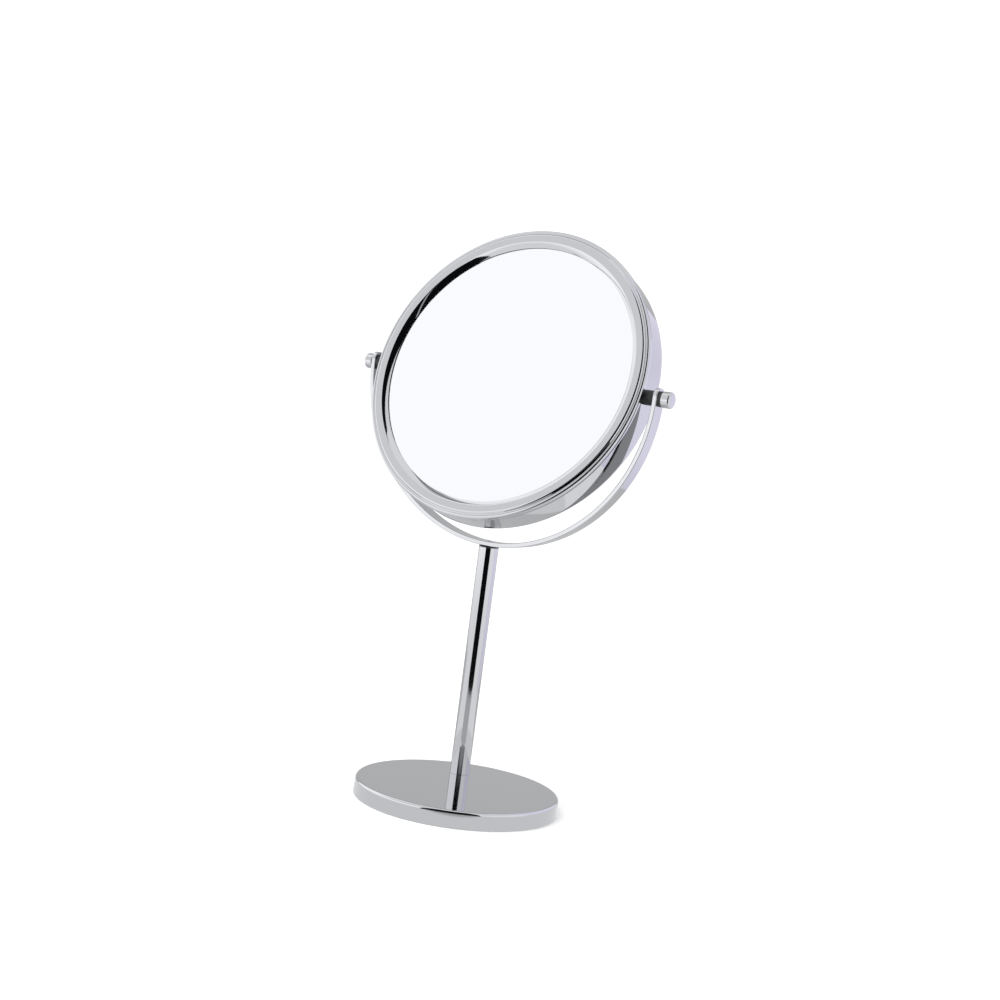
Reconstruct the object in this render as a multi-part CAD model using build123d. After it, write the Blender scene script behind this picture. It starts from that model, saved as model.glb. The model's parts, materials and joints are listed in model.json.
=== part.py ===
"""Extendable shaving mirror: a round double-sided mirror that turns over in a half-round yoke,
on a telescopic stem that stands on a weighted base. Millimetres.

The origin is where the stem's axis meets the table. +Z is up, X runs along the tilt pivots and
the plain glass faces -Y, tilted back by HEAD_TILT. The stem stands behind the base's centre, and
the yoke is swivelled a little against the base, so the base's centre lies towards +X and -Y.
"""

from build123d import *
import os

# ---- base ----
BASE_R = 55.0              # at the foot of the wall
BASE_WALL_R = 54.6         # the wall leans in to this at the top
BASE_HEIGHT = 9.2          # table to the flat top
BASE_EDGE_ROUND = 1.8
BASE_CENTRE = (14.8, -24.0)
SHELL_SHEET = 1.0
SHELL_LIP = 2.2            # width of the rim turned in under the base
PAD_R = 52.0
PAD_PROUD = 0.4            # the pad stands this far below the shell's rim
WEIGHT_R = 53.0

# ---- base bolt ----
BOLT_R = 2.45
BOLT_HOLE_R = 2.7
BOLT_HEAD_R = 4.2
BOLT_HEAD_H = 2.6
BOLT_REACH = 8.0           # thread above the base's top
WASHER_R = 4.8
WASHER_H = 0.8
POCKET_R = 5.2             # pocket in the weight for the bolt's head and washer

# ---- stem and mast ----
RUNNING = 0.05             # radial clearance of every running fit
STEM_R = 5.4
STEM_BORE_R = 4.6
FOOT_PLUG_H = 10.0
MAST_R = 3.8
MAST_BORE_R = 3.1
BUSH_LENGTH = 10.0
BUSH_FLANGE = 0.6
YOKE_LIFT = 0.1            # yoke to bush flange when the mast is pushed in
FOOT_GAP = 0.5             # mast to foot plug when the mast is pushed in
MAST_FLANGE_H = 1.5
MAST_FLANGE_R = 4.3
MAST_SPIGOT_H = 8.0
END_PLAY = 0.2             # axial play of the slide bush on the mast
COLLAR_H = 3.0
COLLAR_R = 4.3
RING_HEIGHT = 4.0
RING_DEPTH = 0.35
RING_SPLIT = 1.6
TOP_PLUG_H = 14.0

# ---- yoke ----
YOKE_R = 91.6              # outer radius of the band's arc
YOKE_CENTRE_Z = 227.6
BAND_THICK = 2.5
BAND_WIDTH = 8.8
BAND_EDGE_ROUND = 0.4
BAND_REACH = 5.6           # pivot centre to the tip of the band
BAND_TIP_ROUND = 4.1
YOKE_SCREW_R = 1.95
YOKE_SCREW_HEAD_R = 3.7
YOKE_SCREW_REACH = 12.0
SLOT_WIDTH = 0.8
SLOT_DEPTH = 0.9

# ---- tilt pivots ----
PIVOT_Z = 227.2
PIVOT_R = 2.0
PIVOT_BUSH_R = 2.75
SPACER_R = 4.0
SPACER_END = 88.9          # middle of the mirror to the spacer's outer face
FRICTION_WASHER_R = 4.1
FRICTION_WASHER_H = {"left": 0.4, "right": 2.0}  # the thick one grips, the thin one only slips
KNOB_R = 4.3
KNOB_LENGTH = 5.0
KNOB_EDGE_ROUND = 1.2
KNOB_GAP = 0.05
KNOB_BORE_SPARE = 0.4      # the knob's blind hole is this much deeper than the screw
THREAD_IN_KNOB = 3.0
PIVOT_HEAD_R = 4.0
PIVOT_HEAD_H = 2.2

# ---- head: heights are measured forwards from the pivot axis ----
HEAD_TILT = 19.5           # degrees, top leaning back
HEAD_RISE = 1.6            # the disc's centre is this far above the pivots
DRUM_R = 83.4
DRUM_SHEET = 0.8
DRUM_FRONT = 6.5
DRUM_BACK = -12.7
DRUM_CORNERS = [(DRUM_R, DRUM_FRONT), (DRUM_R, DRUM_BACK), (78.6, DRUM_BACK), (76.0, DRUM_BACK + 2.0)]
DRUM_ROUNDS = [3.0, 1.2]
GLASS_FACE = 5.8
GLASS_THICK = 3.0
GLASS_R = 78.5
REAR_GLASS_R = 79.5
REAR_GLASS_THICK = 2.0
REAR_GLASS_SEAT = -10.5
REAR_GLASS_CURVE = 700.0   # radius of the hollow face, which magnifies about three times
CARRIER_R = 82.2
CARRIER_BORE_R = 70.0
CARRIER_SEAT_R = 78.8      # the ring's raised edge centres the plain glass
CARRIER_PLAY = 0.1
POCKET_WIDTH = 11.0        # pockets in the carrier round the screws' heads
POCKET_HEIGHT = 16.0
POCKET_FLOOR = 78.5
FOAM_R = 60.0
FOAM_PLAY = 0.1
ANCHOR_THICK = 1.2
ANCHOR_WIDTH = 9.0
ANCHOR_HEIGHT = 14.0
ANCHOR_SCREW_GAP = 0.25    # the screw's flat head against the curved plate

# Bezel section, as radius and height in front of the plain glass, from the sight edge over the
# inner bead, the groove and the outer bead to the skirt round the drum.
BEZEL_SHEET = 0.6
BEZEL_CORNERS = [
    (73.95, 0.6), (78.0, 3.0), (80.2, 3.0), (82.0, 1.9), (82.6, 2.2), (84.0, 2.0), (84.1, -0.9),
]
BEZEL_ROUNDS = [2.5, 2.0, 0.5, 0.6, 1.3]

# ---- heights and places that follow ----
SHELL_FLOOR = PAD_PROUD + SHELL_SHEET
SHELL_CEILING = BASE_HEIGHT - SHELL_SHEET
POCKET_TOP = SHELL_FLOOR + BOLT_HEAD_H + WASHER_H
BAND_INNER_R = YOKE_R - BAND_THICK
BAND_BOTTOM = YOKE_CENTRE_Z - YOKE_R
BAND_TOP = BAND_BOTTOM + BAND_THICK
BAND_TIP = PIVOT_Z + BAND_REACH
STEM_TOP = BAND_BOTTOM - YOKE_LIFT - BUSH_FLANGE
MAST_FOOT = BASE_HEIGHT + FOOT_PLUG_H + FOOT_GAP + MAST_FLANGE_H
SLIDE_BUSH_FOOT = MAST_FOOT + END_PLAY / 2
SLIDE_BUSH_R = STEM_BORE_R - RUNNING
COLLAR_FOOT = MAST_FOOT + BUSH_LENGTH + END_PLAY
WASHER_FACE = {side: YOKE_R + thickness for side, thickness in FRICTION_WASHER_H.items()}
SCREW_TIP = {side: face + THREAD_IN_KNOB for side, face in WASHER_FACE.items()}
DRUM_BORE_R = DRUM_R - DRUM_SHEET
ANCHOR_FACE = DRUM_BORE_R - ANCHOR_THICK
HEAD_PLACE = Pos(0, 0, PIVOT_Z) * Rot(-HEAD_TILT, 0, 0) * Pos(0, 0, HEAD_RISE) * Rot(90, 0, 0)
SIDES = {"left": -1, "right": 1}


def turned(*corners):
    """Solid turned about Z from the corners of its half section, given as (radius, height)."""
    return revolve(make_face(Plane.XZ * Polyline(*corners, close=True)), Axis.Z)


def rod(radius, low, high):
    """Round bar about Z between two heights."""
    return turned((0, low), (radius, low), (radius, high), (0, high))


def sleeve(radius, bore, low, high):
    """Round tube about Z between two heights."""
    return turned((bore, low), (radius, low), (radius, high), (bore, high))


def pressed(corners, rounds, sheet):
    """Sheet-metal ring turned about Z: corners follow its outer face, rounds are its bends."""
    outer_face = FilletPolyline(*corners, radius=rounds)
    section = offset(Wire(outer_face.edges()), sheet, side=Side.RIGHT)
    return revolve(Plane.XZ * make_face(section.edges()), Axis.Z)


def across(shape, side):
    """Lays a shape made about Z along the pivot axis, pointing out to one side."""
    return Pos(0, 0, PIVOT_Z) * Rot(0, 90 * side, 0) * shape


def both_sides(shape):
    """The same piece at both ends of the pivot axis."""
    return Compound([across(shape, side).solid() for side in SIDES.values()])


# ---- stand ----
def base_shell():
    """Pressed cover: flat top, leaning wall, rim turned in below, hole for the bolt."""
    outside = turned((0, PAD_PROUD), (BASE_R, PAD_PROUD), (BASE_WALL_R, BASE_HEIGHT), (0, BASE_HEIGHT))
    outside = fillet(outside.edges().sort_by(Axis.Z)[-1], BASE_EDGE_ROUND)
    cavity = turned((0, SHELL_FLOOR), (BASE_R - SHELL_SHEET, SHELL_FLOOR),
                    (BASE_WALL_R - SHELL_SHEET, SHELL_CEILING), (0, SHELL_CEILING))
    mouth = rod(BASE_R - SHELL_LIP, 0, SHELL_FLOOR)
    return Pos(*BASE_CENTRE) * (outside - cavity - mouth) - rod(BOLT_HOLE_R, SHELL_CEILING, BASE_HEIGHT)


def base_weight():
    """Cast disc that fills the shell, with a pocket for the bolt's head and washer."""
    disc = Pos(*BASE_CENTRE) * rod(WEIGHT_R, SHELL_FLOOR, SHELL_CEILING)
    return disc - rod(POCKET_R, SHELL_FLOOR, POCKET_TOP) - rod(BOLT_HOLE_R, POCKET_TOP, SHELL_CEILING)


def base_pad():
    """Soft disc under the weight; its underside is what the mirror stands on."""
    return Pos(*BASE_CENTRE) * rod(PAD_R, 0, SHELL_FLOOR)


def base_bolt():
    """Bolt from below, through weight and shell into the stem's foot plug."""
    head = rod(BOLT_HEAD_R, SHELL_FLOOR, SHELL_FLOOR + BOLT_HEAD_H)
    return head + rod(BOLT_R, SHELL_FLOOR, BASE_HEIGHT + BOLT_REACH)


def base_washer():
    return sleeve(WASHER_R, BOLT_HOLE_R, POCKET_TOP - WASHER_H, POCKET_TOP)


def stem_tube():
    return sleeve(STEM_R, STEM_BORE_R, BASE_HEIGHT, STEM_TOP)


def stem_foot_plug():
    """Threaded plug pressed into the stem's foot."""
    return sleeve(STEM_BORE_R, BOLT_R + RUNNING, BASE_HEIGHT, BASE_HEIGHT + FOOT_PLUG_H)


def top_guide_bush():
    """Flanged bush in the stem's mouth that the mast slides and turns in."""
    low, high, bore = STEM_TOP - BUSH_LENGTH, STEM_TOP + BUSH_FLANGE, MAST_R + RUNNING
    return turned((bore, low), (STEM_BORE_R, low), (STEM_BORE_R, STEM_TOP), (STEM_R, STEM_TOP),
                  (STEM_R, high), (bore, high))


# ---- carriage ----
def ring_space():
    """Groove of the friction ring, half-way up the slide bush."""
    middle = SLIDE_BUSH_FOOT + BUSH_LENGTH / 2
    return sleeve(SLIDE_BUSH_R, SLIDE_BUSH_R - RING_DEPTH, middle - RING_HEIGHT / 2, middle + RING_HEIGHT / 2)


def slide_bush():
    """Bush round the mast's lower end: it slides in the stem, and the mast turns in it."""
    bush = sleeve(SLIDE_BUSH_R, MAST_R + RUNNING, SLIDE_BUSH_FOOT, SLIDE_BUSH_FOOT + BUSH_LENGTH)
    return bush - ring_space()


def friction_ring():
    """Split spring ring in the slide bush's groove."""
    split = Box(RING_SPLIT, 2 * RING_HEIGHT, BUSH_LENGTH)
    return ring_space() - Pos(0, -SLIDE_BUSH_R, SLIDE_BUSH_FOOT + BUSH_LENGTH / 2) * split


# ---- mast and yoke ----
def mast_tube():
    return sleeve(MAST_R, MAST_BORE_R, MAST_FOOT, BAND_BOTTOM)


def mast_end_plug():
    """Plug in the mast's foot, with a flange that keeps the slide bush on."""
    flange = rod(MAST_FLANGE_R, MAST_FOOT - MAST_FLANGE_H, MAST_FOOT)
    return flange + rod(MAST_BORE_R, MAST_FOOT, MAST_FOOT + MAST_SPIGOT_H)


def stop_collar():
    """Collar pressed on the mast: it meets the guide bush at full height."""
    return sleeve(COLLAR_R, MAST_R, COLLAR_FOOT, COLLAR_FOOT + COLLAR_H)


def mast_top_plug():
    """Threaded plug in the mast's top for the yoke's screw."""
    return sleeve(MAST_BORE_R, YOKE_SCREW_R + RUNNING, BAND_BOTTOM - TOP_PLUG_H, BAND_BOTTOM)


def screw_cone(gap=0):
    """Right-angled cone of the yoke screw's head, or of its seat with a gap all round."""
    shank, rim = YOKE_SCREW_R + gap, YOKE_SCREW_HEAD_R + gap
    foot = BAND_TOP - rim + shank
    return turned((0, foot), (shank, foot), (rim, BAND_TOP), (0, BAND_TOP))


def half_round(radius):
    """Filled U in the X-Z plane: half a circle below, straight sides up to the band's tips."""
    circle = Pos(0, YOKE_CENTRE_Z) * Circle(radius)
    sides = Pos(0, YOKE_CENTRE_Z) * Rectangle(2 * radius, radius, align=(Align.CENTER, Align.MIN))
    above = Pos(0, BAND_TIP) * Rectangle(2 * radius, radius, align=(Align.CENTER, Align.MIN))
    return circle + sides - above


def yoke_band():
    """Flat strip bent to half a circle, its straight ends drilled for the pivots and rounded."""
    band = extrude(Plane.XZ * (half_round(YOKE_R) - half_round(BAND_INNER_R)), BAND_WIDTH / 2, both=True)
    across_tips = band.edges().filter_by(Axis.X).group_by(Axis.Z)[-1]
    band = fillet(across_tips, BAND_TIP_ROUND)
    rims = [edge for edge in band.edges() if edge not in band.edges().filter_by(Axis.X)]
    band = fillet(rims, BAND_EDGE_ROUND)
    pivot_hole = rod(PIVOT_BUSH_R, BAND_INNER_R - BAND_THICK, YOKE_R + BAND_THICK)
    band -= both_sides(pivot_hole)
    screw_seat = screw_cone(RUNNING) + rod(YOKE_SCREW_HEAD_R + RUNNING, BAND_TOP, BAND_TOP + BAND_THICK)
    return band - screw_seat - rod(YOKE_SCREW_R + RUNNING, STEM_TOP, BAND_TOP)


def yoke_screw():
    """Countersunk screw with a cross slot, from the band into the mast's top plug."""
    screw = screw_cone() + rod(YOKE_SCREW_R, BAND_BOTTOM - YOKE_SCREW_REACH, BAND_TOP - SLOT_DEPTH)
    for turn in (0, 90):
        screw -= Pos(0, 0, BAND_TOP) * Rot(0, 0, turn) * Box(YOKE_SCREW_HEAD_R, SLOT_WIDTH, 2 * SLOT_DEPTH)
    return screw


def pivot_bushes():
    return both_sides(sleeve(PIVOT_BUSH_R, PIVOT_R + RUNNING, BAND_INNER_R, YOKE_R))


def friction_washers():
    """Washers that the knobs press on the yoke."""
    rings = {name: sleeve(FRICTION_WASHER_R, PIVOT_R + RUNNING, YOKE_R, WASHER_FACE[name]) for name in SIDES}
    return Compound([across(ring, SIDES[name]).solid() for name, ring in rings.items()])


# ---- head: discs are made about Z with the plain glass facing up, then put in the yoke ----
def at_pivots(shape):
    """A shape made about Z, laid along the pivot axis at both sides of a disc not yet placed."""
    return [Pos(0, -HEAD_RISE, 0) * Rot(0, 90 * side, 0) * shape for side in SIDES.values()]


def drum_shell():
    """Drum wall with a rounded rear edge and a rear rim that slopes in to the glass."""
    shell = pressed(DRUM_CORNERS, DRUM_ROUNDS, DRUM_SHEET)
    for hole in at_pivots(rod(PIVOT_R + RUNNING, ANCHOR_FACE, DRUM_R + DRUM_SHEET)):
        shell -= hole
    return HEAD_PLACE * shell


def front_bezel():
    """Ring with two beads, pressed over the drum's front edge."""
    return HEAD_PLACE * Pos(0, 0, GLASS_FACE) * pressed(BEZEL_CORNERS, BEZEL_ROUNDS, BEZEL_SHEET)


def flat_mirror_glass():
    return HEAD_PLACE * rod(GLASS_R, GLASS_FACE - GLASS_THICK, GLASS_FACE)


def hollow(radius):
    """Height of the magnifying glass's rear face at a radius, above the face's edge."""
    sag_edge = REAR_GLASS_CURVE - (REAR_GLASS_CURVE**2 - REAR_GLASS_R**2) ** 0.5
    return sag_edge - REAR_GLASS_CURVE + (REAR_GLASS_CURVE**2 - radius**2) ** 0.5


def magnifying_mirror_glass():
    """Slumped glass of even thickness whose rear face is hollow."""
    radii = (0, REAR_GLASS_R / 2, REAR_GLASS_R)
    rear = [(radius, REAR_GLASS_SEAT + hollow(radius)) for radius in radii]
    front = [(radius, height + REAR_GLASS_THICK) for radius, height in rear]
    edges = [ThreePointArc(*rear), Line(rear[-1], front[-1]), ThreePointArc(*front), Line(front[0], rear[0])]
    return HEAD_PLACE * revolve(Plane.XZ * make_face(edges), Axis.Z)


def carrier_ring():
    """Moulded ring that keeps the two glasses apart, with pockets for the pivot screws' heads."""
    back = REAR_GLASS_SEAT + REAR_GLASS_THICK + CARRIER_PLAY
    bore_back = back + hollow(CARRIER_BORE_R)
    seat, front = GLASS_FACE - GLASS_THICK, GLASS_FACE - CARRIER_PLAY
    ring = turned((CARRIER_BORE_R, bore_back), (REAR_GLASS_R, back), (CARRIER_R, back), (CARRIER_R, front),
                  (CARRIER_SEAT_R, front), (CARRIER_SEAT_R, seat), (CARRIER_BORE_R, seat))
    pocket = Pos(0, 0, POCKET_FLOOR) * Box(
        POCKET_WIDTH, POCKET_HEIGHT, POCKET_WIDTH, align=(Align.CENTER, Align.CENTER, Align.MIN))
    for space in at_pivots(pocket):
        ring -= space
    return HEAD_PLACE * ring


def foam_disc():
    """Foam that keeps the glasses from rattling."""
    low = REAR_GLASS_SEAT + REAR_GLASS_THICK + hollow(0) + FOAM_PLAY
    return HEAD_PLACE * rod(FOAM_R, low, GLASS_FACE - GLASS_THICK)


def anchor_plates():
    """Curved plates inside the drum wall that spread the pull of the pivot screws."""
    wall = sleeve(DRUM_BORE_R, ANCHOR_FACE, -ANCHOR_WIDTH / 2, ANCHOR_WIDTH / 2)
    cutter = Pos(0, 0, ANCHOR_FACE) * Box(ANCHOR_WIDTH, ANCHOR_HEIGHT, ANCHOR_WIDTH)
    hole = rod(PIVOT_R + RUNNING, POCKET_FLOOR, DRUM_R)
    return Compound([(HEAD_PLACE * ((wall & block) - drill)).solid()
                     for block, drill in zip(at_pivots(cutter), at_pivots(hole))])


def pivot_screws():
    """Screws from inside the drum, through spacers, yoke and washers into the knobs."""
    flat = ANCHOR_FACE - ANCHOR_SCREW_GAP
    head = rod(PIVOT_HEAD_R, flat - PIVOT_HEAD_H, flat)
    return Compound([across(head + rod(PIVOT_R, flat, SCREW_TIP[name]), side).solid()
                     for name, side in SIDES.items()])


def pivot_spacers():
    """Sleeves between drum and yoke, their inner ends hollowed to sit on the drum."""
    drum = HEAD_PLACE * rod(DRUM_R, 2 * DRUM_BACK, -2 * DRUM_BACK)
    blank = sleeve(SPACER_R, PIVOT_R + RUNNING, DRUM_BORE_R, SPACER_END)
    return Compound([(across(blank, side) - drum).solid() for side in SIDES.values()])


# ---- knobs ----
def knob(name, side):
    """Round thumb nut with a rounded end and a blind threaded hole."""
    foot = WASHER_FACE[name] + KNOB_GAP
    body = rod(KNOB_R, foot, foot + KNOB_LENGTH)
    body = fillet(body.edges().sort_by(Axis.Z)[-1], KNOB_EDGE_ROUND)
    return across(body - rod(PIVOT_R + RUNNING, foot, SCREW_TIP[name] + KNOB_BORE_SPARE), side)


PIECES = [
    base_shell, base_weight, base_pad, base_bolt, base_washer, stem_tube, stem_foot_plug, top_guide_bush,
    slide_bush, friction_ring,
    mast_tube, mast_end_plug, stop_collar, mast_top_plug, yoke_band, yoke_screw, pivot_bushes,
    friction_washers,
    drum_shell, front_bezel, flat_mirror_glass, magnifying_mirror_glass, carrier_ring, foam_disc,
    anchor_plates, pivot_screws, pivot_spacers,
]

os.makedirs("parts", exist_ok=True)
for piece in PIECES:
    export_step(piece(), f"parts/{piece.__name__}.step")
for name, side in SIDES.items():
    export_step(knob(name, side), f"parts/{name}_knob.step")
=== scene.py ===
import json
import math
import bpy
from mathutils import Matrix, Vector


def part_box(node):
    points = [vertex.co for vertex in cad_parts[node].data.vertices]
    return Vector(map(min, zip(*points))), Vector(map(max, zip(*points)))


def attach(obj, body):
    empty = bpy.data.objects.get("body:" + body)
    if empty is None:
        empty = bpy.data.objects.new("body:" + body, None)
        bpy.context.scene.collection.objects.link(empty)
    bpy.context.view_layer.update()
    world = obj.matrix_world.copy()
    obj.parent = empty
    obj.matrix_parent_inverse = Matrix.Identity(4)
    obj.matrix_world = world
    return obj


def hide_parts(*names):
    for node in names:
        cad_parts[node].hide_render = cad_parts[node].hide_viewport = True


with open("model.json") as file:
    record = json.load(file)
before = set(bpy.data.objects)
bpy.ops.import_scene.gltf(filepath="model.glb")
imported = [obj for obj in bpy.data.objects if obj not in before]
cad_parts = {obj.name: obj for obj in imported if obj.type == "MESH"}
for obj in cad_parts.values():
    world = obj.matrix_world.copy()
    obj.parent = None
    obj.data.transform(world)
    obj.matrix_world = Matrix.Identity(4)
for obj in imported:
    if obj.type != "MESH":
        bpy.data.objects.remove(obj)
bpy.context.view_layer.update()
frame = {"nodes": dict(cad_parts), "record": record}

# %% [markdown]
# # An extendable shaving mirror, finished in Blender
# The CAD model gives the exact shape of every piece and says what moves with what. This lesson puts
# the looks on it: the pressed and plated sheet metal, the silvered glass and the few black plastic
# pieces. Nearly everything that shows is chrome, and chrome has no look of its own. It shows the room.
# So the work is in three places: clean curved surfaces, good edges, and a studio worth mirroring.

MM = 0.001


def size_of(node):
    """Width, depth and height of a CAD node in metres."""
    low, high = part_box(node)
    return high - low


def middle_of(node):
    """Centre of a CAD node's box in metres."""
    low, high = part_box(node)
    return (low + high) / 2


# %% [markdown]
# ## One helper for nodes
# Materials and Geometry Nodes trees are both made of nodes. They can be drawn by hand in an editor,
# but a script gives the same tree each time it runs. One small function adds a node, sets its options
# and fills its sockets, each with a plain value or with the output of a node made before it. Colours
# are written as sRGB hex, as in a paint program, and Blender wants them in linear light.

# %% The node helper and colours
def add(tree, kind, sockets=None, **options):
    """Adds one node. A socket's value is a plain value or another node's output."""
    node = tree.nodes.new(kind)
    for option, value in options.items():
        setattr(node, option, value)
    for socket, value in (sockets or {}).items():
        if isinstance(value, bpy.types.NodeSocket):
            tree.links.new(value, node.inputs[socket])
        else:
            node.inputs[socket].default_value = value
    return node


def linear(hex_colour):
    """sRGB hex to the linear RGBA that Blender's sockets expect."""
    channels = [int(hex_colour[i:i + 2], 16) / 255 for i in (1, 3, 5)]
    return [c / 12.92 if c <= 0.04045 else ((c + 0.055) / 1.055) ** 2.4 for c in channels] + [1.0]


def new_material(name, colour, roughness, metallic=0.0):
    """A Principled material with its even values on the shader's own sockets. A pattern that is linked
    to a socket later takes the place of the even value."""
    material = bpy.data.materials.new(name)
    material.use_nodes = True
    material.diffuse_color = linear(colour)
    tree = material.node_tree
    shader = tree.nodes["Principled BSDF"]
    shader.inputs["Base Color"].default_value = linear(colour)
    shader.inputs["Roughness"].default_value = roughness
    shader.inputs["Metallic"].default_value = metallic
    return material, tree, shader


print("sRGB #808080 in linear light:", round(linear("#808080")[0], 3))

# %% [markdown]
# ## Patterns in millimetres
# No real surface is even. A noise pattern makes it rougher here and smoother there, or gives it a
# little relief. A painted image could do that too, but noise has no seams and no resolution. Its scale
# is one over the size of a blotch, so each pattern is given in millimetres and turned into a scale.

# %% Pattern helpers
def object_place(tree):
    """Each point's own place on the piece, so that a pattern stays on it when it moves."""
    return add(tree, "ShaderNodeTexCoord").outputs["Object"]


def noise(tree, grain_mm, detail=2.0):
    """Noise whose blotches are about grain_mm across on the object."""
    return add(tree, "ShaderNodeTexNoise", {
        "Vector": object_place(tree), "Scale": 1 / (grain_mm * MM), "Detail": detail,
    }).outputs["Fac"]


def spread(tree, value, low, high, start=0.3, end=0.7):
    """Stretches a pattern's middle part to run from low to high."""
    return add(tree, "ShaderNodeMapRange", {
        "Value": value, "From Min": start, "From Max": end, "To Min": low, "To Max": high,
    }).outputs["Result"]


def bump(tree, shader, height, depth_mm):
    """Raises the surface by a pattern, whose full height is depth_mm."""
    node = add(tree, "ShaderNodeBump", {"Height": height, "Distance": depth_mm * MM, "Strength": 1.0})
    tree.links.new(node.outputs["Normal"], shader.inputs["Normal"])


print("a grain of 0.5 mm has a scale of", round(1 / (0.5 * MM)))

# %% [markdown]
# ## Chrome
# Decorative chrome is a bright nickel layer under a film of chromium less than a micron thick, on
# polished metal. It is a metal, so all its colour is in its mirror image: a little over half of the
# light comes back, faintly blue. One even roughness would make it look like computer chrome. Polishing
# leaves waves a thousandth or two of a millimetre deep, which bend reflections, and handling leaves
# films that dull it in patches. Both are noise. Pressed sheet has long waves, and a knob short ones.

# %% Chrome plate
CHROME = "#C4C5C8"


def chrome(name, wave_mm, depth_mm):
    material, tree, shader = new_material(name, CHROME, 0.03, metallic=1.0)
    film = noise(tree, grain_mm=22, detail=4.0)
    tree.links.new(spread(tree, film, low=0.04, high=0.08), shader.inputs["Roughness"])
    bump(tree, shader, noise(tree, wave_mm), depth_mm)
    return material


pressed_chrome = chrome("chrome_plated_pressed_steel", wave_mm=30, depth_mm=0.002)
tube_chrome = chrome("chrome_plated_drawn_tube", wave_mm=18, depth_mm=0.001)
turned_chrome = chrome("chrome_plated_turned_brass", wave_mm=6, depth_mm=0.0005)
print("chrome:", [m.name for m in (pressed_chrome, tube_chrome, turned_chrome)])

# %% [markdown]
# ## Silvered glass
# A mirror is float glass with silver on its back. Float glass is flatter than anything that is
# pressed, so it gets no waves at all. It could be modelled as clear glass with metal behind it, but the
# double image would be too fine to see, so one metal surface stands for both. Silver gives back more
# than nine tenths of the light. The clear coat is the glass in front, with its own faint reflection,
# and dust and wiping marks show as a trace of roughness.

# %% Silvered glass
def silvered_glass():
    material, tree, shader = new_material("silvered_float_glass", "#F7F8FB", 0.0, metallic=1.0)
    shader.inputs["Coat Weight"].default_value = 1.0
    shader.inputs["Coat Roughness"].default_value = 0.0
    shader.inputs["Coat IOR"].default_value = 1.52
    wiped = noise(tree, grain_mm=35, detail=3.0)
    tree.links.new(spread(tree, wiped, low=0.0, high=0.012), shader.inputs["Roughness"])
    return material


mirror = silvered_glass()
print("mirror:", mirror.name)

# %% [markdown]
# ## Plastics, rubber and foam
# Nylon washers and bushes are moulded: satin black with the fine texture of an etched mould. The
# carrier ring is grey ABS with the same kind of texture. The pad under the base is foamed rubber with
# small closed cells, and the foam between the glasses has cells about a millimetre wide. Noise gives
# the moulded grain. Cells have walls that meet, which is just what a Voronoi texture draws, and the
# same texture paints shade into the hollows between the walls.

# %% Plastics, rubber and foam
GLOSS_SWING = 0.08


def moulded(name, colour, roughness, grain_mm, depth_mm):
    """Moulded plastic: a fine etched texture and a slightly uneven gloss."""
    material, tree, shader = new_material(name, colour, roughness)
    grain = noise(tree, grain_mm, detail=3.0)
    uneven = spread(tree, grain, roughness - GLOSS_SWING, roughness + GLOSS_SWING)
    tree.links.new(uneven, shader.inputs["Roughness"])
    bump(tree, shader, grain, depth_mm)
    return material


def cellular(name, colour, painted_hollow_shade, cell_mm, depth_mm):
    """Foamed material: rounded cells, with painted shade that darkens their hollows."""
    material, tree, shader = new_material(name, colour, 0.85)
    cells = add(tree, "ShaderNodeTexVoronoi", {
        "Vector": object_place(tree), "Scale": 1 / (cell_mm * MM)}).outputs["Distance"]
    # Painted shade: each cell is darkened towards its middle, the hollow where shade falls, by mixing in the
    # darker colour given for it.
    tint = add(tree, "ShaderNodeMix", {
        "Factor": cells, "A": linear(painted_hollow_shade), "B": linear(colour)}, data_type="RGBA")
    tree.links.new(tint.outputs["Result"], shader.inputs["Base Color"])
    bump(tree, shader, cells, depth_mm)
    return material


nylon = moulded("black_nylon_moulded", "#1B1B1D", roughness=0.42, grain_mm=0.35, depth_mm=0.01)
abs_plastic = moulded("grey_abs_moulded", "#8A8C8F", roughness=0.5, grain_mm=0.4, depth_mm=0.015)
# The third colour of each foamed material is the painted shade in its cell hollows.
rubber = cellular("black_foamed_rubber", "#262628", "#101011", cell_mm=0.6, depth_mm=0.05)
foam = cellular("polyurethane_foam_cut", "#D8D6CE", "#A9A69B", cell_mm=1.1, depth_mm=0.2)
print("soft and moulded:", [m.name for m in (nylon, abs_plastic, rubber, foam)])

# %% [markdown]
# ## Bare metals
# The ballast is cast iron as it comes from the mould, rough and nearly black. Bolts, washers and
# plates are zinc-plated steel, blue-grey in soft patches. Threaded plugs and the stop collar are brass
# with the rings that a lathe tool leaves. Real rings lie a tenth or two of a millimetre apart, too fine
# to show, so they are drawn 2.5 mm apart. A Wave texture repeats 20 times in tau units, and its scale
# is worked out from that.

# %% Bare metals
RING_MM = 2.5
WAVES_IN_TAU = 20


def cast_iron():
    material, tree, shader = new_material("grey_iron_sand_cast", "#3B3C3E", 0.7, metallic=1.0)
    sand = noise(tree, grain_mm=0.8, detail=5.0)
    tree.links.new(spread(tree, sand, low=0.55, high=0.85), shader.inputs["Roughness"])
    bump(tree, shader, sand, depth_mm=0.12)
    return material


def zinc_plate():
    material, tree, shader = new_material("steel_zinc_plated", "#B4B8BE", 0.3, metallic=1.0)
    patches = noise(tree, grain_mm=3)
    tint = add(tree, "ShaderNodeMix", {
        "Factor": patches, "A": linear("#A6ABB3"), "B": linear("#C2C4C6")}, data_type="RGBA")
    tree.links.new(tint.outputs["Result"], shader.inputs["Base Color"])
    tree.links.new(spread(tree, patches, low=0.22, high=0.42), shader.inputs["Roughness"])
    return material


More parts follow.
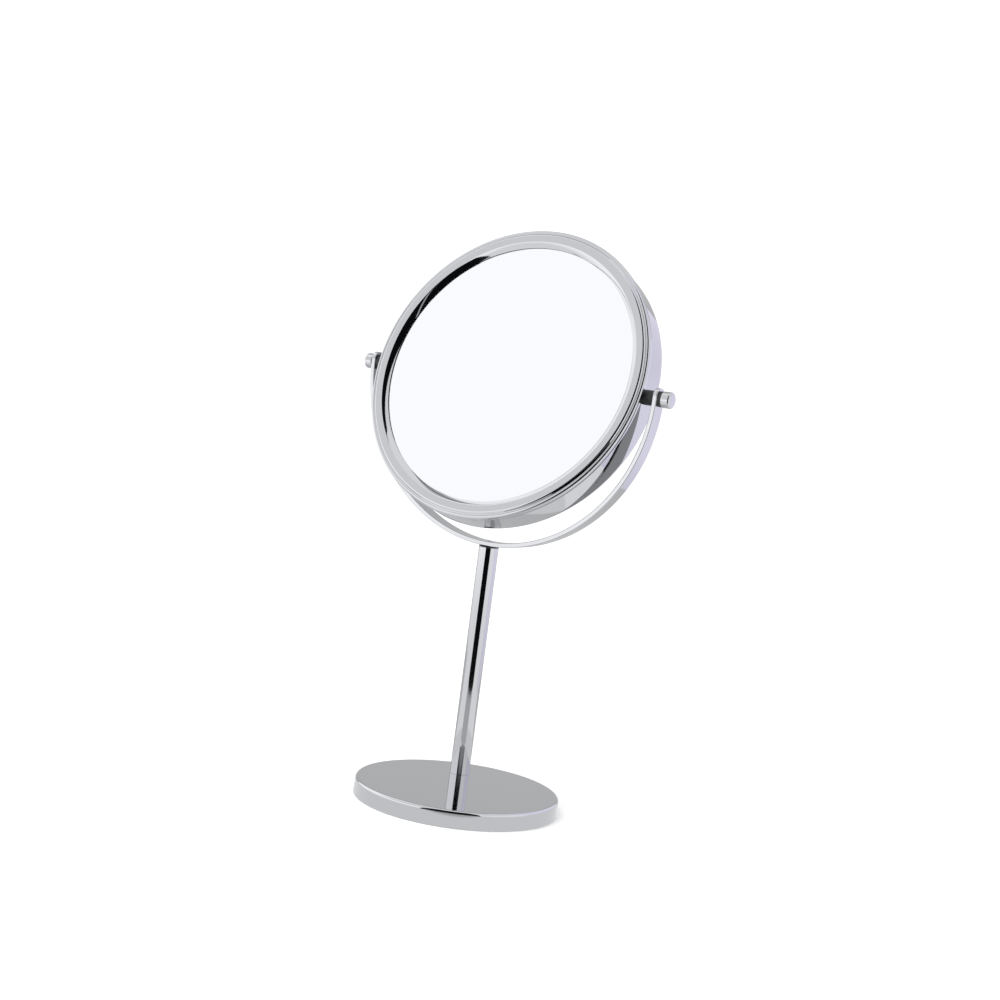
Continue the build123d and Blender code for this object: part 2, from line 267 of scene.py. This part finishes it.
def turned_brass():
    material, tree, shader = new_material("brass_lathe_turned", "#D2AE6B", 0.25, metallic=1.0)
    rings = add(tree, "ShaderNodeTexWave", {
        "Vector": object_place(tree), "Scale": math.tau / WAVES_IN_TAU / (RING_MM * MM),
        "Distortion": 0.4}, bands_direction="Z").outputs["Fac"]
    tree.links.new(spread(tree, rings, 0.18, 0.34, start=0.0, end=1.0), shader.inputs["Roughness"])
    bump(tree, shader, rings, depth_mm=0.004)
    return material


iron, zinc, brass = cast_iron(), zinc_plate(), turned_brass()
print("bare metals:", [m.name for m in (iron, zinc, brass)])

# %% [markdown]
# ## Finishes for the pieces that keep their CAD shape
# Bolts, plugs, bushes and the ballast sit inside the mirror and show only when it is taken apart. The
# spacers at the pivots and the yoke do show, but the spacers are plain sleeves and the yoke is a bent
# flat strip, which the CAD model already has exactly. All of them could be built again here and would
# look no different. So they keep their shape, and each takes the finish of the real piece.

# %% Finishes on CAD pieces
PIECES_BY_FINISH = (
    (iron, ("base_weight",)),
    (zinc, ("base_bolt", "base_washer", "friction_ring", "anchor_plates", "pivot_screws")),
    (brass, ("stem_foot_plug", "mast_top_plug", "stop_collar", "mast_end_plug")),
    (nylon, ("slide_bush", "pivot_bushes", "pivot_spacers", "top_guide_bush")),
    (abs_plastic, ("carrier_ring",)),
    (turned_chrome, ("yoke_screw",)),
    (pressed_chrome, ("yoke_band",)),
)
for finish, node_names in PIECES_BY_FINISH:
    for node_name in node_names:
        for material_slot in frame["nodes"][node_name].material_slots:
            material_slot.material = finish
    print(f"{finish.name}: {', '.join(node_names)}")

# %% [markdown]
# ## Turning and pressing in Geometry Nodes
# Almost every piece of this mirror is round, made on a lathe or a spinning press. Its shape is a rule:
# a section with a few corners, a bend radius at each corner, carried once round an axis. The Screw
# modifier could carry it, but it can't round each corner by its own radius. A Geometry Nodes tree does
# both, in the maker's order. Mesh to Curve and Fillet Curve draw the section with its bends, Curve to
# Mesh carries it round a guide circle, Merge by Distance closes the poles, and edges sharper than the
# crease angle stay crisp. The section is first shifted back by the guide circle's radius, so that its
# zero lies on the axis. The same tree then makes every ring, tube, disc and knob.

# %% The tree for turned and pressed pieces
GUIDE_R = 10
MERGE_DISTANCE = 1e-6


def turning_tree():
    tree = bpy.data.node_groups.new("turned_piece", "GeometryNodeTree")
    tree.interface.new_socket("Geometry", in_out="OUTPUT", socket_type="NodeSocketGeometry")
    for name, kind in (("Section", "Geometry"), ("Facets", "Int"), ("Bend steps", "Int"),
                       ("Crease angle", "Float"), ("Material", "Material")):
        tree.interface.new_socket(name, in_out="INPUT", socket_type=f"NodeSocket{kind}")
    given = add(tree, "NodeGroupInput").outputs
    corners = add(tree, "GeometryNodeMeshToCurve", {"Mesh": given["Section"]})
    bend = add(tree, "GeometryNodeInputNamedAttribute", {"Name": "bend"}, data_type="FLOAT")
    section = add(tree, "GeometryNodeFilletCurve", {
        "Curve": corners.outputs["Curve"], "Count": given["Bend steps"],
        "Radius": bend.outputs["Attribute"]}, mode="POLY")
    shifted = add(tree, "GeometryNodeTransform", {
        "Geometry": section.outputs["Curve"], "Translation": (-GUIDE_R * MM, 0, 0),
        "Scale": (1, -1, 1)})
    circle = add(tree, "GeometryNodeCurvePrimitiveCircle", {
        "Resolution": given["Facets"], "Radius": GUIDE_R * MM})
    swept = add(tree, "GeometryNodeCurveToMesh", {
        "Curve": circle.outputs["Curve"], "Profile Curve": shifted.outputs["Geometry"]})
    closed = add(tree, "GeometryNodeMergeByDistance", {
        "Geometry": swept.outputs["Mesh"], "Distance": MERGE_DISTANCE})
    smooth = add(tree, "GeometryNodeSetShadeSmooth", {
        "Geometry": closed.outputs["Geometry"]}, domain="FACE")
    angle = add(tree, "GeometryNodeInputMeshEdgeAngle").outputs["Unsigned Angle"]
    sharp = add(tree, "FunctionNodeCompare", {
        "A": angle, "B": given["Crease angle"]}, operation="GREATER_THAN")
    creased = add(tree, "GeometryNodeSetShadeSmooth", {
        "Geometry": smooth.outputs["Geometry"], "Selection": sharp.outputs["Result"],
        "Shade Smooth": False}, domain="EDGE")
    real = add(tree, "GeometryNodeRealizeInstances", {"Geometry": creased.outputs["Geometry"]})
    finished = add(tree, "GeometryNodeSetMaterial", {
        "Geometry": real.outputs["Geometry"], "Material": given["Material"]})
    add(tree, "NodeGroupOutput", {"Geometry": finished.outputs["Geometry"]})
    return tree


TURNED_PIECE = turning_tree()
print("turning tree:", len(TURNED_PIECE.nodes), "nodes")

# %% [markdown]
# ## From a section to a mesh
# The corners of a section are a handful of points, each with its bend radius in an attribute. The tree
# turns them, Solidify gives pressed sheet its thickness, and the result is taken as a plain mesh.
# Chrome shows every error of its normals. A small bend at the end of a long straight wall would tilt
# the wall's normals and warp its reflections, so the Weighted Normal modifier weighs them by area. The
# wall then stays straight right up to the bend, and mirrors straight lines.

# %% Turned meshes
CREASE_ANGLE = math.radians(32)
FULL_WEIGHT = 100


def as_object(name, mesh):
    """A new object in the scene for a mesh."""
    piece = bpy.data.objects.new(name, mesh)
    bpy.context.scene.collection.objects.link(piece)
    return piece


def evaluated_copy(piece):
    """The piece's mesh with its modifiers applied."""
    graph = bpy.context.evaluated_depsgraph_get()
    return bpy.data.meshes.new_from_object(piece.evaluated_get(graph))


def turned_mesh(name, corners, material, sheet=0.0, facets=192, bend_steps=8):
    """Mesh turned about Z. A corner is (radius, height, bend radius), all in mm, going clockwise round
    the section. With a sheet thickness the corners are the outer face of a sheet, and otherwise they
    close a solid."""
    count = len(corners)
    section = bpy.data.meshes.new(name + "_section")
    edges = [(i, i + 1) for i in range(count - 1)]
    on_axis = corners[0][0] == 0 and corners[-1][0] == 0
    if not sheet and not on_axis:
        edges.append((count - 1, 0))
    section.from_pydata([(radius * MM, height * MM, 0) for radius, height, _ in corners], edges, [])
    bends = section.attributes.new("bend", "FLOAT", "POINT")
    bends.data.foreach_set("value", [bend * MM for *_, bend in corners])
    piece = as_object(name + "_blank", section)
    modifier = piece.modifiers.new("turn", "NODES")
    modifier.node_group = TURNED_PIECE
    values = {"Facets": facets, "Bend steps": bend_steps, "Crease angle": CREASE_ANGLE,
              "Material": material}
    for item in TURNED_PIECE.interface.items_tree:
        if item.in_out == "INPUT" and item.name in values:
            modifier[item.identifier] = values[item.name]
    if sheet:
        wall = piece.modifiers.new("sheet", "SOLIDIFY")
        wall.thickness = sheet * MM
        wall.offset = -1.0
        wall.use_even_offset = True
    normals = piece.modifiers.new("normals", "WEIGHTED_NORMAL")
    normals.mode = "FACE_AREA"
    normals.weight = FULL_WEIGHT
    normals.keep_sharp = True
    mesh = evaluated_copy(piece)
    bpy.data.objects.remove(piece)
    return mesh


print("edges sharper than", round(math.degrees(CREASE_ANGLE)), "degrees stay crisp")

# %% [markdown]
# ## Putting a piece in the frame
# Each finished mesh rides on a body of the CAD model, so that it moves with the joints, and stands for
# the CAD nodes that it replaces. Its place goes into the mesh and not into the object, because the
# patterns are read from the object's own coordinates.

# %% Placing
UPRIGHT = Matrix.Identity(4)


def place(name, meshes, body, nodes, matrix=UPRIGHT):
    """Puts one mesh, or several as one piece, in the frame to stand for CAD nodes."""
    parts = [as_object(name, mesh) for mesh in (meshes if isinstance(meshes, list) else [meshes])]
    piece = parts[0]
    if len(parts) > 1:
        with bpy.context.temp_override(active_object=piece, selected_editable_objects=parts):
            bpy.ops.object.join()
    piece.data.transform(matrix)
    piece.name = name
    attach(piece, body)
    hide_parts(*nodes)
    low, high = (Vector(map(pick, zip(*[v.co for v in piece.data.vertices]))) for pick in (min, max))
    print(f"{name}: {len(piece.data.polygons)} faces, mm", [round(side / MM, 1) for side in high - low])
    return piece


# %% [markdown]
# ## The base
# A shallow pressed cover hides the ballast. Its top is flat and polished, its wall leans in slightly
# so that it leaves the press, and the rim is turned in underneath. A cylinder with a Bevel modifier
# would be near, but it has no lean, no rim and the same edge everywhere. The bend at the top edge is
# under two millimetres, and it catches the bright and dark lines that make the base read as metal.

# %% Base cover and pad
base_place = Matrix.Translation((*middle_of("base_shell").xy, 0))
BASE_R = size_of("base_shell").x / 2 / MM
BASE_FOOT, BASE_TOP = (corner.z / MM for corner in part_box("base_shell"))
TOP_BEND, FOOT_BEND = 1.8, 0.6
WALL_LEAN = 0.4
RIM_TURNED_IN = 2.2
PAD_R = size_of("base_pad").x / 2 / MM
PAD_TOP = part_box("base_pad")[1].z / MM
PAD_TOP_BEND, PAD_FOOT_BEND = 0.15, 0.4

place("base_cover", turned_mesh("base_cover", [
    (0, BASE_TOP, 0),
    (BASE_R - WALL_LEAN, BASE_TOP, TOP_BEND),
    (BASE_R, BASE_FOOT, FOOT_BEND),
    (BASE_R - RIM_TURNED_IN, BASE_FOOT, 0),
], pressed_chrome, sheet=1.0, facets=320, bend_steps=12), "stand", ["base_shell"], base_place)

place("non_slip_pad", turned_mesh("non_slip_pad", [
    (0, PAD_TOP, 0),
    (PAD_R, PAD_TOP, PAD_TOP_BEND),
    (PAD_R, 0, PAD_FOOT_BEND),
    (0, 0, 0),
], rubber), "stand", ["base_pad"], base_place)

# %% [markdown]
# ## Stem and mast
# The stem is drawn tube. Its mouth is broken with a small radius round the black guide bush, and the
# inner tube, which shows when the mirror is raised, has the same finish. A curve with a round bevel
# would look the same from the side, but it has no wall at its ends. A section with four corners has a
# real wall, and a soft edge at the mouth.

# %% Stem and mast tubes
TUBE_EDGE = 0.2


def tube(name, node, wall, body):
    """Open tube as wide and as tall as its CAD node."""
    low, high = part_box(node)
    radius = (high.x - low.x) / 2 / MM
    bottom, top = low.z / MM, high.z / MM
    mesh = turned_mesh(name, [
        (radius - wall, bottom, 0),
        (radius - wall, top, TUBE_EDGE),
        (radius, top, TUBE_EDGE),
        (radius, bottom, TUBE_EDGE / 2),
    ], tube_chrome, facets=128, bend_steps=4)
    place(name, mesh, body, [node])


tube("stem", "stem_tube", wall=0.8, body="stand")
tube("mast", "mast_tube", wall=0.7, body="yoke")

# %% [markdown]
# ## Where the head is
# The head is a disc that leans back between the yoke's tips. Its place and lean could be typed in, but
# then they would be wrong as soon as the CAD model changed. They are read from its plain glass: the
# faces that look forward give the direction, and the box gives the centre. Sections are then drawn as
# radius and height in front of the glass, and put there in one move.

# %% The head's own frame
FACES_FORWARD = -0.9


def forward_of(node):
    """Direction that the flat front face of a CAD node looks, which is towards -Y."""
    mesh = frame["nodes"][node].data
    total = Vector()
    for face in mesh.polygons:
        if face.normal.y < FACES_FORWARD:
            total += face.normal * face.area
    return total.normalized()


GLASS_THICK = 3.0
disc_z = forward_of("flat_mirror_glass")
disc_x = Vector((1, 0, 0))
disc_y = disc_z.cross(disc_x)
glass_face = middle_of("flat_mirror_glass") + disc_z * GLASS_THICK / 2 * MM
head_place = Matrix.Translation(glass_face) @ Matrix((disc_x, disc_y, disc_z)).transposed().to_4x4()
print("head leans back", round(math.degrees(math.asin(disc_z.z)), 2), "degrees")

# %% [markdown]
# ## Drum and bezel
# The drum is the wall between the two glasses, with its rear rim rolled in. The bezel is pressed over
# its front edge: a sloping sight edge, a broad inner bead, a groove and a round outer bead, then a
# skirt round the drum. Each bead is two corners with a bend radius, much as the press tool is drawn.
# The CAD bezel could have been kept, but it is a mesh of long thin triangles, which a mirror finish
# shows. This one is evenly divided. Its broad bead is fuller than the CAD model's, by up to 0.43 mm.

# %% Drum and bezel
DRUM_R = size_of("drum_shell").x / 2 / MM
DRUM_FRONT, DRUM_BACK = 0.7, -18.5
RIM_DEPTH = 2.0
place("drum", turned_mesh("drum", [
    (DRUM_R, DRUM_FRONT, 0),
    (DRUM_R, DRUM_BACK, 3.0),
    (78.6, DRUM_BACK, 1.2),
    (76.0, DRUM_BACK + RIM_DEPTH, 0),
], pressed_chrome, sheet=0.8, facets=360, bend_steps=12), "head", ["drum_shell"], head_place)

place("bezel", turned_mesh("bezel", [
    (73.95, 0.6, 0),
    (77.0, 3.0, 2.2),
    (80.9, 3.0, 1.6),
    (82.0, 1.9, 0.5),
    (82.6, 2.2, 0.6),
    (84.0, 2.0, 1.3),
    (84.1, -0.9, 0),
], pressed_chrome, sheet=0.6, facets=512, bend_steps=12), "head", ["front_bezel"], head_place)

# %% [markdown]
# ## The plain glass
# The plain glass is a flat disc with ground edges. Its face has to be perfectly flat, so it is one fan
# of faces between two corners of the section, with nothing in between that could bend.

# %% Plain glass
GLASS_R = 78.5
GROUND_EDGE = 0.4
place("plain_glass", turned_mesh("plain_glass", [
    (0, 0, 0),
    (GLASS_R, 0, GROUND_EDGE),
    (GLASS_R, -GLASS_THICK, GROUND_EDGE),
    (0, -GLASS_THICK, 0),
], mirror, facets=256, bend_steps=2), "head", ["flat_mirror_glass"], head_place)

# %% [markdown]
# ## The magnifying glass
# The magnifying glass is sheet glass slumped over a mould, so its faces are parts of large spheres,
# and the hollow one looks backwards. A UV sphere could be cut to size, but the height of a sphere at
# each radius is one line of arithmetic, and the section takes it as it is.

# %% Magnifying glass
REAR_GLASS_R = 79.5
REAR_GLASS_THICK = 2.0
REAR_GLASS_EDGE = -16.3
HOLLOW_RADIUS = 700.0
HOLLOW_STEPS = 24


def hollow_height(radius):
    """Height of the hollow face at a radius, above the height of its rim."""
    return math.sqrt(HOLLOW_RADIUS**2 - radius**2) - math.sqrt(HOLLOW_RADIUS**2 - REAR_GLASS_R**2)


radii = [REAR_GLASS_R * step / HOLLOW_STEPS for step in range(HOLLOW_STEPS + 1)]
hollow_face = [(radius, REAR_GLASS_EDGE + hollow_height(radius), 0) for radius in radii]
inner_face = [(radius, height + REAR_GLASS_THICK, 0) for radius, height, _ in hollow_face]
place("magnifying_glass", turned_mesh("magnifying_glass", inner_face + hollow_face[::-1], mirror, facets=256),
      "head", ["magnifying_mirror_glass"], head_place)
print("the hollow is", round(hollow_height(0), 2), "mm deep")

# %% [markdown]
# ## The foam between the glasses
# A disc of foam keeps the glasses from rattling. Nobody sees it, and it is squeezed between two hard
# faces, so a cloth simulation would only make it flat again. A disc with rounded edges is enough.

# %% Foam pad
FOAM_R = 60
FOAM_BEND = 1.5
FOAM_GAP = 0.1
foam_low = REAR_GLASS_EDGE + REAR_GLASS_THICK + hollow_height(0) + FOAM_GAP
foam_high = -GLASS_THICK
foam_pad = place("foam_pad", turned_mesh("foam_pad", [
    (0, foam_high, 0),
    (FOAM_R, foam_high, FOAM_BEND),
    (FOAM_R, foam_low, FOAM_BEND),
    (0, foam_low, 0),
], foam, facets=96), "head", ["foam_disc"], head_place)

# %% [markdown]
# ## Knobs and washers
# A knob is a small turned nut with a rounded end, plated like the rest. Under each knob lies a black
# nylon washer, a thick one at the right and a thin one at the left. They all lie along the tilt axis.
# They are made upright by the same tree as the rest, and then laid on their side, once for each end.

# %% Knobs and washers
SCREW_HOLE_R = 2.05
KNOB_ROUND = 1.2
KNOB_CAP = 1.0
FINE_EDGE = 0.15


def joint_place(name):
    """Where a joint of the record sits, in metres."""
    joint = next(j for j in frame["record"]["behaviour"]["joints"] if j["name"] == name)
    return Vector(joint["pos_m"])


pivot = joint_place("head_tilt")


def lying(side):
    """Lays a piece made about Z along the tilt axis, pointing out to one side."""
    return Matrix.Translation((0, pivot.y, pivot.z)) @ Matrix.Rotation(side * math.pi / 2, 4, "Y")


for side, name in ((-1, "left_knob"), (1, "right_knob")):
    foot, end = sorted(abs(corner.x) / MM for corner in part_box(name))
    knob_r = size_of(name).z / 2 / MM
    knob = turned_mesh(name + "_turned", [
        (0, end, 0),
        (knob_r, end, KNOB_ROUND),
        (knob_r, foot, FINE_EDGE),
        (SCREW_HOLE_R, foot, 0),
        (SCREW_HOLE_R, end - KNOB_CAP, 0),
        (0, end - KNOB_CAP, 0),
    ], turned_chrome, facets=96)
    place(name + "_turned", knob, name, [name], lying(side))

washer_r = size_of("friction_washers").z / 2 / MM
yoke_face = size_of("yoke_band").x / 2 / MM
washer_ends = [abs(corner.x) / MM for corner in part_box("friction_washers")]


def washer(side, end):
    """Nylon washer from the yoke's face to a distance from the middle, at one side."""
    mesh = turned_mesh("friction_washer", [
        (SCREW_HOLE_R, yoke_face, 0),
        (SCREW_HOLE_R, end, 0),
        (washer_r, end, FINE_EDGE),
        (washer_r, yoke_face, FINE_EDGE),
    ], nylon, facets=64, bend_steps=3)
    mesh.transform(lying(side))
    return mesh


place("knob_washers", [washer(side, end) for side, end in zip((-1, 1), washer_ends)],
      "yoke", ["friction_washers"])

# %% [markdown]
# ## Camera
# The camera stands level with the middle of the glass and well to its right, and is tipped sideways
# so that the mirror leans across the picture. It could be placed by three coordinates and three
# angles, but those are hard to read. An azimuth, a pitch, a roll and a distance from the point that
# it aims at say the same more plainly.

# %% Camera
AZIMUTH = math.radians(32.1)
PITCH = math.radians(4.23)
ROLL = math.radians(7.45)
AIM = Vector((0.0022, 0.0015, 0.1615))
DISTANCE = 0.938
FOCAL_LENGTH = 62.05
SENSOR_WIDTH = 36.0

towards = Vector((math.sin(AZIMUTH) * math.cos(PITCH), -math.cos(AZIMUTH) * math.cos(PITCH), math.sin(PITCH)))
level = Vector((math.cos(AZIMUTH), math.sin(AZIMUTH), 0))
rise = towards.cross(level)
camera_x = level * math.cos(ROLL) + rise * math.sin(ROLL)
camera_y = towards.cross(camera_x)
camera = bpy.data.objects.new("camera", bpy.data.cameras.new("camera"))
bpy.context.scene.collection.objects.link(camera)
camera.matrix_world = (Matrix.Translation(AIM + towards * DISTANCE)
                       @ Matrix((camera_x, camera_y, towards)).transposed().to_4x4())
camera.data.sensor_width = SENSOR_WIDTH
camera.data.lens = FOCAL_LENGTH
bpy.context.scene.camera = camera
print("camera height, m:", round(camera.matrix_world.translation.z, 3))

# %% [markdown]
# ## Floor and light
# The room is a white studio with soft light from all round, and a plain pale floor with no gloss. One
# even world light does the work of many lamps and leaves no hard shadows.

# %% Floor and world
FLOOR_HALF = 6.0
WORLD_STRENGTH = 1.15


def flat_piece(name, corners, material):
    """A flat card from its corners."""
    mesh = bpy.data.meshes.new(name)
    mesh.from_pydata([tuple(corner) for corner in corners], [], [tuple(range(len(corners)))])
    mesh.materials.append(material)
    card = as_object(name, mesh)
    return card


floor_material, _, floor_shader = new_material("painted_floor_matt_white", "#F3F3F3", 0.9)
floor_shader.inputs["Specular IOR Level"].default_value = 0.0
flat_piece("floor", [(x * FLOOR_HALF, y * FLOOR_HALF, 0) for x, y in ((-1, -1), (1, -1), (1, 1), (-1, 1))],
           floor_material)

world = bpy.data.worlds.new("white_studio")
world.use_nodes = True
bpy.context.scene.world = world
sky = world.node_tree.nodes["Background"]
sky.inputs["Color"].default_value = linear("#FFFFFF")
sky.inputs["Strength"].default_value = WORLD_STRENGTH
bpy.context.scene.view_settings.view_transform = "Standard"
print("floor, m:", 2 * FLOOR_HALF, "square")

# %% [markdown]
# ## The plan of the reflection cards
# In an all-white room chrome looks like white plastic. So a studio stands cards round it, bright ones
# to the left and right and something dark in front, and its edges show. More lamps could do it too,
# but they would light the floor as well. These cards are seen only in reflections. Their
# places, colours and brightness are a choice, made by trying them out until the metal looked right.
# They are laid out on a plan with the stem in the middle: across is to the camera's right, and ahead
# is towards the camera, in metres.

# %% Plan of the room
front = Vector((math.sin(AZIMUTH), -math.cos(AZIMUTH), 0))
LEFT, RIGHT, BACK = -0.45, 0.30, -0.45
WALL, FAR, FAR_HALF = 0.335, 1.0, 1.2
GAP_LEFT, GAP_RIGHT = -0.213, 0.159
LAVENDER_FROM, BRIGHT_FROM = 0.08, -0.05
HIGH, FAR_HIGH = 1.4, 3.6
PEAK_FROM, PEAK_TO, UPPER_FROM = 0.13, 0.20, 0.30
LIFT = 0.0003
WHITE, BLACK, LAVENDER = "#FFFFFF", "#101012", "#F2EFFF"


def on_plan(across, ahead, height=0.0):
    """A point given as across and in front of the stem."""
    return level * across + front * ahead + Vector((0, 0, height))


def gap_at(ahead):
    """Edges of the gap between the front walls, as they line up from the stem at a distance."""
    return GAP_LEFT * ahead / WALL, GAP_RIGHT * ahead / WALL


print("gap between the front walls, mm:", round((GAP_RIGHT - GAP_LEFT) / MM))

# %% [markdown]
# ## Cards that only mirrors see
# A card is a flat mesh with an Emission shader, hidden from the camera and from matt surfaces. One
# strength all over leaves a hard line where a card ends, so the walls are graded by height: brightest
# in a belt at the height of the yoke, and dimmer below and above it.

# %% Card helpers
def glow(name, colour, strength):
    """Even light of one colour."""
    material = bpy.data.materials.new(name)
    material.use_nodes = True
    tree = material.node_tree
    tree.nodes.clear()
    light = add(tree, "ShaderNodeEmission", {"Color": linear(colour), "Strength": strength})
    add(tree, "ShaderNodeOutputMaterial", {"Surface": light.outputs["Emission"]})
    return material


def reflection_card(name, corners, colour, strength):
    """Glowing card that only mirrors see."""
    panel = flat_piece(name, corners, glow(name, colour, strength))
    panel.visible_camera = False
    panel.visible_diffuse = False
    panel.visible_shadow = False
    return panel


def wall(name, start, end, low, high, colour, strength):
    """Upright card between two places on the plan."""
    corners = [on_plan(*start, low), on_plan(*end, low), on_plan(*end, high), on_plan(*start, high)]
    return reflection_card(name, corners, colour, strength)


def graded(panel, foot, peak, top):
    """Lets a wall's light grow from its foot to its brightest part and fade again above it."""
    tree = panel.active_material.node_tree
    height = add(tree, "ShaderNodeSeparateXYZ", {"Vector": object_place(tree)}).outputs["Z"]
    grow = add(tree, "ShaderNodeMapRange", {
        "Value": height, "From Min": 0.0, "From Max": PEAK_FROM, "To Min": foot, "To Max": peak,
    }, interpolation_type="SMOOTHSTEP").outputs["Result"]
    fade = add(tree, "ShaderNodeMapRange", {
        "Value": height, "From Min": PEAK_TO, "From Max": UPPER_FROM, "To Min": 0.0, "To Max": peak - top,
    }, interpolation_type="SMOOTHSTEP").outputs["Result"]
    strength = add(tree, "ShaderNodeMath", {0: grow, 1: fade}, operation="SUBTRACT").outputs["Value"]
    tree.links.new(strength, tree.nodes["Emission"].inputs["Strength"])


def carpet(name, near, far, near_edges, far_edges, layer, colour, strength):
    """Card on the floor between two distances, its edges given as places across."""
    height = layer * LIFT
    corners = [on_plan(near_edges[0], near, height), on_plan(near_edges[1], near, height),
               on_plan(far_edges[1], far, height), on_plan(far_edges[0], far, height)]
    return reflection_card(name, corners, colour, strength)


print("walls are brightest from", PEAK_FROM, "to", PEAK_TO, "m up")

# %% [markdown]
# ## The floor as the chrome sees it
# Near the mirror the real floor lies in soft shade, and far in front of it the room is dark. So the
# chrome gets its own floor: a pale one all round, a slightly darker round patch under the base, a grey
# one behind, and in front a grey wedge that turns black. They lie in thin layers, a fraction of a
# millimetre apart, so that none hides in another.

# %% Floor cards
RING_R, RING_SIDES = 0.15, 64
GREY_FROM, BLACK_FROM = 0.115, 0.284
BEHIND = -0.06
base_centre = middle_of("base_shell")
room_edges = (LEFT, RIGHT)
far_edges = (-FAR_HALF, FAR_HALF)
carpet("floor_pale", BACK, WALL, room_edges, room_edges, 1, WHITE, 1.1)
ring = [Vector((base_centre.x + RING_R * math.cos(turn), base_centre.y + RING_R * math.sin(turn), 2 * LIFT))
        for turn in (step * math.tau / RING_SIDES for step in range(RING_SIDES))]
reflection_card("floor_ring", ring, WHITE, 0.93)
carpet("floor_behind", BACK, BEHIND, room_edges, room_edges, 3, WHITE, 0.70)
carpet("floor_grey", GREY_FROM, BLACK_FROM, gap_at(GREY_FROM), gap_at(BLACK_FROM), 4, WHITE, 0.60)
carpet("floor_black", BLACK_FROM, WALL, gap_at(BLACK_FROM), gap_at(WALL), 4, BLACK, 1.0)
carpet("floor_far", WALL, FAR, far_edges, far_edges, 4, BLACK, 1.0)
print("the floor turns grey at", GREY_FROM, "m and black at", BLACK_FROM, "m")

# %% [markdown]
# ## The walls
# Two bright front walls leave a gap, and the black far wall shows through it, with one dim band that
# keeps the foot of the stem from turning black. The rear part of the left wall stays bright higher up
# for the bezel. Its front part, which fills the plain glass, is dimmer up there, so that the glass
# stays just under white. The wall at the right is faintly lavender towards the back, and the back wall
# is grey for the base's top.

# %% Wall cards
BAND_LOW, BAND_HIGH = 0.195, 0.245
for name, start, end, colour, foot, peak, top in (
        ("wall_front_left", (LEFT, WALL), (GAP_LEFT, WALL), WHITE, 1.10, 1.50, 1.02),
        ("wall_left", (LEFT, WALL), (LEFT, BRIGHT_FROM), WHITE, 1.10, 1.50, 1.02),
        ("wall_left_rear", (LEFT, BRIGHT_FROM), (LEFT, BACK), WHITE, 1.10, 1.50, 1.40),
        ("wall_front_right", (GAP_RIGHT, WALL), (RIGHT, WALL), WHITE, 1.10, 1.23, 1.02),
        ("wall_right", (RIGHT, WALL), (RIGHT, LAVENDER_FROM), WHITE, 1.10, 1.23, 1.05),
        ("wall_lavender", (RIGHT, LAVENDER_FROM), (RIGHT, BACK), LAVENDER, 1.05, 1.25, 1.12)):
    graded(wall(name, start, end, 0.0, HIGH, colour, peak), foot, peak, top)
wall("wall_back", (LEFT, BACK), (RIGHT, BACK), 0.0, HIGH, WHITE, 0.62)
wall("wall_far", (-FAR_HALF, FAR), (FAR_HALF, FAR), 0.0, FAR_HIGH, BLACK, 1.0)
wall("band_far", (-FAR_HALF, FAR - LIFT), (FAR_HALF, FAR - LIFT), BAND_LOW, BAND_HIGH, WHITE, 0.50)

# %% [markdown]
# ## Lamp
# One large soft lamp, high and to the left, gives the shadow under the base a direction. It is hidden
# from mirrors, because the cards already draw every reflection.

# %% Soft lamp above
LAMP_PLACE = Vector((-0.3, -0.3, 1.6))
LAMP_SIZE = 1.0
LAMP_WATTS = 14.0
lamp = bpy.data.objects.new("soft_lamp", bpy.data.lights.new("soft_lamp", "AREA"))
bpy.context.scene.collection.objects.link(lamp)
lamp.data.shape = "DISK"
lamp.data.size = LAMP_SIZE
lamp.data.energy = LAMP_WATTS
lamp.location = LAMP_PLACE
lamp.rotation_euler = (LAMP_PLACE - AIM).to_track_quat("Z", "Y").to_euler()
lamp.visible_glossy = False
print("lamp:", LAMP_WATTS, "W,", round((LAMP_PLACE - AIM).length, 2), "m away")
